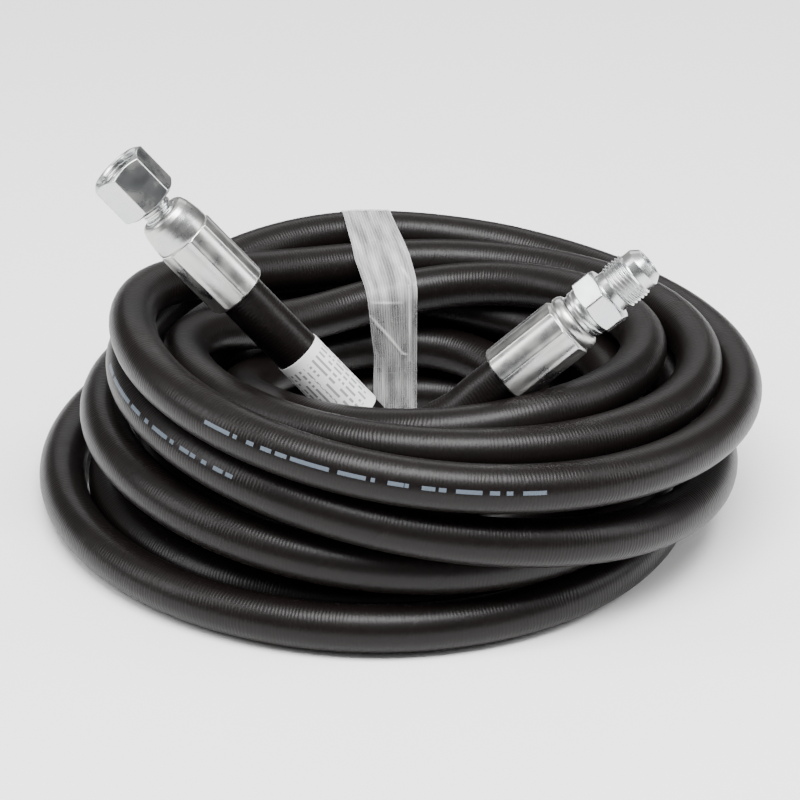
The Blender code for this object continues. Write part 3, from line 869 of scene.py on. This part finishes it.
MALE = [
    (BORE_R, INNER_END, None), (SHANK_R, INNER_END, None), (SHANK_R, MALE_FACE + 0.3, None),
    (COLLAR_R, MALE_FACE + 0.3, None), (COLLAR_R, MALE_FACE + 1.8, None), (GRIP_R, MALE_FACE + 2.1, None),
    (GRIP_R, MALE_FACE + 3.4, None), (9.85, MALE_FACE + 3.6, None), (9.85, MALE_FACE + 3.9, None),
    (GRIP_R, MALE_FACE + 4.1, None), (GRIP_R, HEX_BACK, None), (NUT_AF / 2 - 0.4, HEX_BACK, hexed),
    (CORNER + 0.3, HEX_BACK + 1.3, hexed),
    (CORNER + 0.3, HEX_FRONT - 1.3, hexed), (NUT_AF / 2 - 0.4, HEX_FRONT, hexed),
    (8.6, HEX_FRONT + 0.1, None), (8.5, THREAD_FROM, None), (8.55, THREAD_FROM + 0.1, threaded),
    (THREAD_D / 2 + 0.05, THREAD_FROM + 1.0, threaded), (THREAD_D / 2 + 0.05, THREAD_TO - 1.0, threaded),
    (NOSE_R, THREAD_TO, threaded), (NOSE_R, THREAD_TO + 0.4, None), (NOSE_R, CONE, None),
    (TIP_R, TIP, None), (BORE_R, TIP, None), (BORE_R, INNER_END, None),
]
male = turned_part("male_end_threaded", MALE, male_place, bright_zinc, "hose", sides=144, step=0.2)
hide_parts("male_stem")

# %% [markdown]
# The label is a strip of white polyester film wrapped once round the hose behind the
# female ferrule, so it is a thin sleeve, with its overlap edge standing a little proud.
# Rows of plain dashes stand for what would be printed on it.

# %% Film and marks of the label
FILM_A_METRE = 160.0
ROW = 2.4 * MM
MARK = 1.1 * MM
ROW_INKED = 0.42
MARKS_INKED = 0.62
LABEL_INK = 0.7
LABEL_GAP = 34.0
LABEL_LENGTH = 36.0
PRINTED_HALF = 14.0


def label_marks(look, round_it, along_it):
    """How much ink lies on the label: rows of marks, some left out by chance, clear of both edges."""
    row = add(look, "ShaderNodeMath", {0: round_it, 1: 1.0 / ROW}, operation="MULTIPLY")
    row_number = add(look, "ShaderNodeMath", {0: row}, operation="FLOOR")
    in_row = add(look, "ShaderNodeMath", {0: row}, operation="FRACT")
    on_row = add(look, "ShaderNodeMath", {0: in_row, 1: ROW_INKED}, operation="LESS_THAN")
    mark = add(look, "ShaderNodeMath", {0: along_it, 1: 1.0 / MARK}, operation="MULTIPLY")
    mark_number = add(look, "ShaderNodeMath", {0: mark}, operation="FLOOR")
    both = add(look, "ShaderNodeCombineXYZ", {"X": row_number, "Y": mark_number})
    chance = add(look, "ShaderNodeTexWhiteNoise", {"Vector": both}, noise_dimensions="2D")
    inked = add(look, "ShaderNodeMath", {0: chance, 1: MARKS_INKED}, operation="LESS_THAN")
    shown = add(look, "ShaderNodeMath", {0: on_row, 1: inked}, operation="MULTIPLY")
    inside = add(look, "ShaderNodeMath", {0: along_it, 1: LABEL_LENGTH / 2 * MM, 2: PRINTED_HALF * MM},
                 operation="COMPARE")
    kept = add(look, "ShaderNodeMath", {0: shown, 1: inside}, operation="MULTIPLY")
    return add(look, "ShaderNodeMath", {0: kept, 1: LABEL_INK}, operation="MULTIPLY")


def label_film():
    look, shader = finish_named("polyester_label_film")
    place = add(look, "ShaderNodeTexCoord", {}).outputs["Object"]
    soft = add(look, "ShaderNodeTexNoise", {"Vector": place, "Scale": FILM_A_METRE, "Detail": 3.0})
    tone = add(look, "ShaderNodeMix", {0: soft, 6: colour("#e4e5e6"), 7: colour("#f3f3f2")},
               data_type="RGBA").outputs[2]
    where = add(look, "ShaderNodeUVMap", {}, uv_map="round_and_along")
    split = add(look, "ShaderNodeSeparateXYZ", {"Vector": where})
    ink = label_marks(look, split.outputs["X"], split.outputs["Y"])
    printed = add(look, "ShaderNodeMix", {0: ink, 6: tone, 7: colour("#3c3d42")},
                  data_type="RGBA").outputs[2]
    bump = add(look, "ShaderNodeBump", {"Height": soft, "Strength": 0.6, "Distance": 0.1 * MM})
    feed(look, shader, {"Base Color": printed, "Roughness": 0.38, "Normal": bump, "IOR": 1.5})
    return look


print("rows of marks round the label:", int(math.pi * HOSE_OD / ROW))

# %% [markdown]
# The sleeve is skinned like the turned parts. Its map then lays it out flat, as it was
# printed, so a row of marks is as long on the film as it would be on paper.

# %% Label
LABEL_FRONT = -LABEL_GAP
LABEL_BACK = LABEL_FRONT - LABEL_LENGTH
OVERLAP_AT = 2.2
OVERLAP_WIDE = 0.9
OVERLAP_HIGH = 0.12
OUTSIDE_R = HOSE_R + 0.3


def overlapped(r, turn, z):
    """The film where its end lies on its start, standing a little proud."""
    near = np.clip(1 - np.abs(turn - OVERLAP_AT) / OVERLAP_WIDE, 0, 1)
    return r + OVERLAP_HIGH * near**0.3


def label_map(piece):
    """Lays the label out flat: metres round the hose and metres along it."""
    mesh = piece.data
    layer = mesh.uv_layers.new(name="round_and_along")
    back = female_place.inverted()
    for face in mesh.polygons:
        spots = [back @ mesh.vertices[v].co for v in face.vertices]
        turns = [math.atan2(p.y, p.x) / math.tau % 1.0 for p in spots]
        if max(turns) - min(turns) > 0.5:
            turns = [t + 1.0 if t < 0.5 else t for t in turns]
        for loop, share, p in zip(face.loop_indices, turns, spots):
            layer.data[loop].uv = (share * math.pi * HOSE_OD, p.z - LABEL_BACK * MM)


LABEL = [
    (INSIDE_R, LABEL_BACK, None), (OUTSIDE_R, LABEL_BACK, overlapped), (OUTSIDE_R, LABEL_FRONT, overlapped),
    (INSIDE_R, LABEL_FRONT, None), (INSIDE_R, LABEL_BACK, None),
]
label = turned_part("wrap_label_film", LABEL, female_place, label_film(), "hose", edge=0.05, step=1.0)
label_map(label)
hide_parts("wrap_label")

# %% [markdown]
# Clear tape holds the coil together at the back. It is pulled tight, so it spans the
# hollows between turns. Its line is the convex outline of the turns under it, worked out
# at several places across its width, which is what a stretched film takes up. It was put
# on by hand, so it runs a little askew, and it bunches up where it goes down inside.

# %% Turns under the tape
TAPE_ANGLE = math.radians(101.3)
TAPE_ASIDE = -6.3 * MM
TAPE_WIDTH = 20.5 * MM
out_way = np.array((math.cos(TAPE_ANGLE), math.sin(TAPE_ANGLE), 0.0))
side_way = np.array((-math.sin(TAPE_ANGLE), math.cos(TAPE_ANGLE), 0.0))


def turns_under(side):
    """Where the hose goes through the plane at this distance from the middle of the tape."""
    away = (fine_line - COIL_AXIS) @ side_way - side - TAPE_ASIDE
    out = (fine_line - COIL_AXIS) @ out_way
    cross = np.nonzero((away[:-1] * away[1:] < 0) & (out[:-1] > 0))[0]
    share = away[cross] / (away[cross] - away[cross + 1])
    spots = fine_line[cross] * (1 - share)[:, None] + fine_line[cross + 1] * share[:, None]
    return np.stack([(spots - COIL_AXIS) @ out_way, spots[:, 2]], 1)


print("the tape goes round", len(turns_under(0.0)), "turns")

# %% [markdown]
# Where the film was folded or pulled together, it stands up in low creases that turn
# white. Each is a straight line on the flat film, with the shape of a soft ridge across
# it, lower towards its ends.

# %% Creases of the tape
# Where each crease starts and ends, as mm down from the top of the band and share of the width from its
# right edge, and how high it stands in mm.
CREASES = (
    ((49, 0.99), (68, 0.34), 0.8), ((68, 0.34), (69, 0.24), 0.6), ((37, 0.15), (72, 0.17), 0.7),
    ((43, 0.92), (44, 0.30), 0.4), ((25, 0.22), (36, 0.12), 0.5), ((70, 0.80), (100, 0.74), -0.3),
)
CREASE_WIDE = 0.55
WHITE_AT = 0.6


def creased(down, across):
    """How far the film stands up, in mm, at these many mm down from the top of the band."""
    spot = np.stack([down, np.full(len(down), across * TAPE_WIDTH / MM)], 1)
    height = np.zeros(len(down))
    for (down_from, across_from), (down_to, across_to), high in CREASES:
        start = np.array((down_from, across_from * TAPE_WIDTH / MM))
        way = np.array((down_to, across_to * TAPE_WIDTH / MM)) - start
        share = np.clip((spot - start) @ way / (way @ way), 0, 1)
        off = np.linalg.norm(spot - start - share[:, None] * way, axis=1)
        height += high * np.exp(-((off / CREASE_WIDE) ** 2)) * np.sin(np.pi * (0.15 + 0.7 * share))
    return height


print("creases:", len(CREASES))

# %% [markdown]
# A stretched film lies on the nearest tangent line in every direction. The outline is
# worked out in even steps round the bundle of turns, at each station across the band.

# %% Line of the tape
TAPE_OFF = 0.6 * MM
TAPE_STATIONS = 41
TAPE_POINTS = 600
# How the band changes on its way round: the way it faces in degrees, its share of TAPE_WIDTH, and how far
# it strays sideways in mm.
BUNCHED = (
    (0, 1.0, 0.0), (70, 1.05, 0.8), (115, 1.18, 0.8), (150, 1.05, 0.5), (180, 0.92, -0.8),
    (235, 0.92, -0.8), (300, 1.0, 0.0), (360, 1.0, 0.0),
)
GRAZING = 0.05
OUT_OF_REACH = 9.0
OVER_FLOOR = 0.1 * MM


def tape_lines():
    """Closed lines along the tape, one a station, and how white each of their points is."""
    turn = math.tau * np.arange(TAPE_POINTS) / TAPE_POINTS
    ways = np.stack([np.cos(turn), np.sin(turn)], 1)
    faced, shares, strays = zip(*BUNCHED)
    share, stray = (np.interp(np.degrees(turn), faced, v) for v in (shares, strays))
    middle = turns_under(0.0).mean(axis=0)
    facing = ways @ ways.T
    lines, whitened = [], []
    for side in np.linspace(-0.5, 0.5, TAPE_STATIONS) * TAPE_WIDTH:
        spots = turns_under(side) - middle
        reach = (spots @ ways.T).max(axis=0) + HOSE_OD / 2 + TAPE_OFF
        # The outline in each direction is where the nearest tangent line crosses that direction.
        crossed = reach[None, :] / np.maximum(facing, GRAZING)
        flat = ways * np.where(facing > GRAZING, crossed, OUT_OF_REACH).min(axis=1)[:, None] + middle
        flat[:, 1] = np.maximum(flat[:, 1], OVER_FLOOR)
        run = run_along(flat) / MM
        stands = creased(run - run[TAPE_POINTS // 4], side / TAPE_WIDTH + 0.5)
        flat += ways * stands[:, None] * MM
        aside = (side * share + stray * MM + TAPE_ASIDE)[:, None]
        upward = np.array((0, 0, 1)) * flat[:, 1:]
        lines.append(COIL_AXIS + out_way * flat[:, :1] + side_way * aside + upward)
        whitened.append(np.clip(np.abs(stands) / WHITE_AT, 0, 1))
    return lines, whitened


tape_rows, tape_white = tape_lines()
print("way round the bundle:", round(run_along(tape_rows[0])[-1], 3), "m")

# %% [markdown]
# The tape is polypropylene film with fine threads in it, which show as ribs along it. It
# is clear where it lies on the hose and milky where it is creased or where it bridges a
# hollow, so its see-through share and its bump come from noise stretched along the tape.
# On the inside of the coil, past BEND_DOWN, it lies single and shows more of the hose.

# %% Film of the tape
TAPE_RIB = 1.06 * MM
BEND_DOWN = 40.0 * MM
THINS_OVER = 8.0 * MM
STREAKS_A_METRE = (260.0, 36.0, 1.0)
RIB_MILKY = 0.09
FOLD_MILKY = 0.35


def film_cover(look, cloud, rib, fold, along_it, top_at):
    """How much of what is under it the film hides: 0 is clear and 1 is white."""
    milky = add(look, "ShaderNodeMapRange", {"Value": cloud, "From Min": 0.35, "From Max": 0.65,
                                             "To Min": 0.34, "To Max": 0.74})
    bend = top_at + BEND_DOWN
    thick = add(look, "ShaderNodeMapRange", {"Value": along_it, "From Min": bend, "To Min": 1.0,
                                             "From Max": bend + THINS_OVER, "To Max": 0.62})
    laid = add(look, "ShaderNodeMath", {0: milky, 1: thick}, operation="MULTIPLY")
    ribbed = add(look, "ShaderNodeMath", {0: rib, 1: RIB_MILKY, 2: laid}, operation="MULTIPLY_ADD")
    return add(look, "ShaderNodeMath", {0: fold, 1: FOLD_MILKY, 2: ribbed}, operation="MULTIPLY_ADD",
               use_clamp=True)


def film(top_at):
    look, shader = finish_named("polypropylene_filament_tape")
    where = add(look, "ShaderNodeUVMap", {}, uv_map="across_and_along")
    split = add(look, "ShaderNodeSeparateXYZ", {"Vector": where})
    across = add(look, "ShaderNodeMath", {0: split.outputs["X"], 1: math.tau / TAPE_RIB},
                 operation="MULTIPLY")
    rib = add(look, "ShaderNodeMath", {0: across}, operation="SINE")
    folds = add(look, "ShaderNodeUVMap", {}, uv_map="creased")
    fold = add(look, "ShaderNodeSeparateXYZ", {"Vector": folds}).outputs["X"]
    drawn = add(look, "ShaderNodeMapping", {"Vector": where, "Scale": STREAKS_A_METRE})
    cloud = add(look, "ShaderNodeTexNoise", {"Vector": drawn, "Scale": 1.0, "Detail": 4.0})
    hidden = film_cover(look, cloud, rib, fold, split.outputs["Y"], top_at)
    height = add(look, "ShaderNodeMath", {0: cloud, 1: 3.0, 2: rib}, operation="MULTIPLY_ADD")
    bump = add(look, "ShaderNodeBump", {"Height": height, "Strength": 1.0, "Distance": 0.14 * MM})
    tone = add(look, "ShaderNodeMix", {0: cloud, 6: colour("#bbbcbd"), 7: colour("#ebebea")},
               data_type="RGBA").outputs[2]
    white = add(look, "ShaderNodeMix", {0: fold, 6: tone, 7: colour("#fbfbfa")}, data_type="RGBA").outputs[2]
    feed(look, shader, {"Base Color": white, "Roughness": 0.24, "Normal": bump, "Alpha": hidden, "IOR": 1.49})
    return look


print("threads across the tape:", round(TAPE_WIDTH / TAPE_RIB))

# %% [markdown]
# The band is skinned between its lines. It carries two maps: how far across and along the
# tape each point lies, for the threads, and how white the film is there, for the creases.

# %% Tape


def tape_band(lines, whitened):
    """The film as one closed strip of quads."""
    count, across = len(lines[0]), len(lines) - 1
    run = run_along(np.vstack([lines[0], lines[0][:1]]))
    faces, marks, sharp = [], [], []
    for i in range(across):
        low, high = TAPE_WIDTH * i / across, TAPE_WIDTH * (i + 1) / across
        one, two = whitened[i], whitened[i + 1]
        here, there = i * count, (i + 1) * count
        for k in range(count):
            after = (k + 1) % count
            faces.append((here + k, there + k, there + after, here + after))
            marks += [(low, run[k]), (high, run[k]), (high, run[k + 1]), (low, run[k + 1])]
            sharp += [(one[k], 0.0), (two[k], 0.0), (two[after], 0.0), (one[after], 0.0)]
    mesh = bpy.data.meshes.new("clear_tape_band")
    mesh.from_pydata(np.concatenate(lines).tolist(), [], faces)
    for name, values in (("across_and_along", marks), ("creased", sharp)):
        mesh.uv_layers.new(name=name).data.foreach_set("uv", np.array(values, np.float32).ravel())
    mesh.shade_smooth()
    mesh.materials.append(film(float(run[count // 4])))
    print("tape:", 2 * len(faces), "triangles")
    return in_scene("clear_tape_band", mesh)


tape = tape_band(tape_rows, tape_white)
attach(tape, "hose")
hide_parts("strapping_tape")

# %% [markdown]

# %% [markdown]
# The object stands on a plain pale floor under soft studio light: one large lamp above
# and in front gives the long highlights on the turns, two narrower lamps at the sides put
# bright edges on the steel, and a wide one behind rims the back of the coil.

# %% Floor and lamps
FLOOR_HALF = 6.0
LAMPS_AIM = Vector((0, 0, 0.05))
# Each lamp: where it hangs and how large it is, in metres, and its power in watts.
LAMPS = {
    "lamp_above": ((0.1, -0.45, 1.35), (1.25, 0.6), 52),
    "lamp_left": ((-1.3, -0.2, 0.9), (0.5, 0.9), 13),
    "lamp_right": ((1.35, -0.1, 0.8), (0.5, 0.9), 10),
    "lamp_behind": ((0.0, 1.3, 0.9), (1.6, 0.5), 6),
}


def floor():
    mesh = bpy.data.meshes.new("floor")
    corners = [(x * FLOOR_HALF, y * FLOOR_HALF, 0) for x, y in ((-1, -1), (1, -1), (1, 1), (-1, 1))]
    mesh.from_pydata(corners, [], [(0, 1, 2, 3)])
    look, shader = finish_named("pale_paper_floor")
    feed(look, shader, {"Base Color": colour("#ffffff"), "Roughness": 0.9})
    mesh.materials.append(look)
    in_scene("floor", mesh)


def softbox(name, place, size, power):
    data = bpy.data.lights.new(name, "AREA")
    data.shape = "RECTANGLE"
    data.size, data.size_y = size
    data.energy = power
    made = in_scene(name, data)
    made.location = place
    made.rotation_euler = (LAMPS_AIM - Vector(place)).to_track_quat("-Z", "Y").to_euler()


floor()
for name, (place, size, power) in LAMPS.items():
    softbox(name, place, size, power)
print("lamps:", sum(power for place, size, power in LAMPS.values()), "W in all")

# %% [markdown]
# The rest of the room is a white glow that grows with the square of the height looked
# at. It is dim at the level of the coil, so the sides of the turns stay dark, and bright
# overhead, so the floor stays pale and the shadows soft.

# %% Glow of the room
LEVEL_GLOW = 0.07
OVERHEAD_GLOW = 0.95


def room():
    made = bpy.data.worlds.new("studio")
    bpy.context.scene.world = made
    made.use_nodes = True
    way = add(made, "ShaderNodeTexCoord", {}).outputs["Generated"]
    height = add(made, "ShaderNodeSeparateXYZ", {0: way}).outputs["Z"]
    squared = add(made, "ShaderNodeMath", {0: height, 1: height}, operation="MULTIPLY")
    glow = add(made, "ShaderNodeMapRange", {"Value": squared, "To Min": LEVEL_GLOW, "To Max": OVERHEAD_GLOW})
    feed(made, made.node_tree.nodes["Background"], {"Color": (1, 1, 1, 1), "Strength": glow})


room()
print("glow from", LEVEL_GLOW, "to", OVERHEAD_GLOW)
